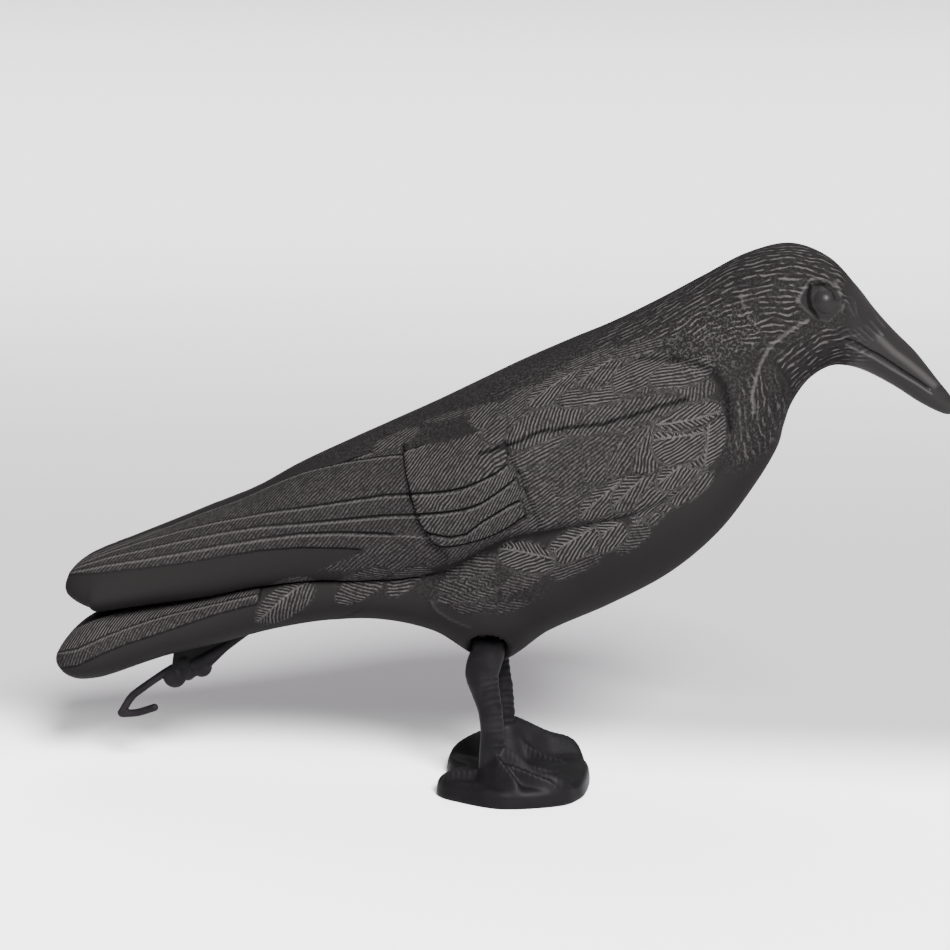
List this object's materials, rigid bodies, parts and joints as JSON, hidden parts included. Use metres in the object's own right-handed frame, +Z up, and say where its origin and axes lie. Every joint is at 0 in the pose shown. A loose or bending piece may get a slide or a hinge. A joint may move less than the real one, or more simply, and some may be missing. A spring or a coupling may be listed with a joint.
{
  "type": "crow decoy",
  "caption": "Life-size matte black plastic crow decoy, standing on a moulded pair of feet, with a hanging hook under its tail.",
  "frame": {"origin": "centre of the base pad's flat underside, on the ground", "axes": "+X towards the beak, +Y towards the bird's left side, +Z up"},
  "size_m": [0.3937, 0.124, 0.2436],
  "materials": {
    "body_plastic": "matte black blow-moulded polyethylene with feather relief",
    "stand_plastic": "satin black moulded plastic",
    "hook_plastic": "satin black moulded plastic"
  },
  "bodies": {
    "root": {"body": "body_plastic", "foot_stand": "stand_plastic", "tail_hook": "hook_plastic"}
  },
  "joints": []
}
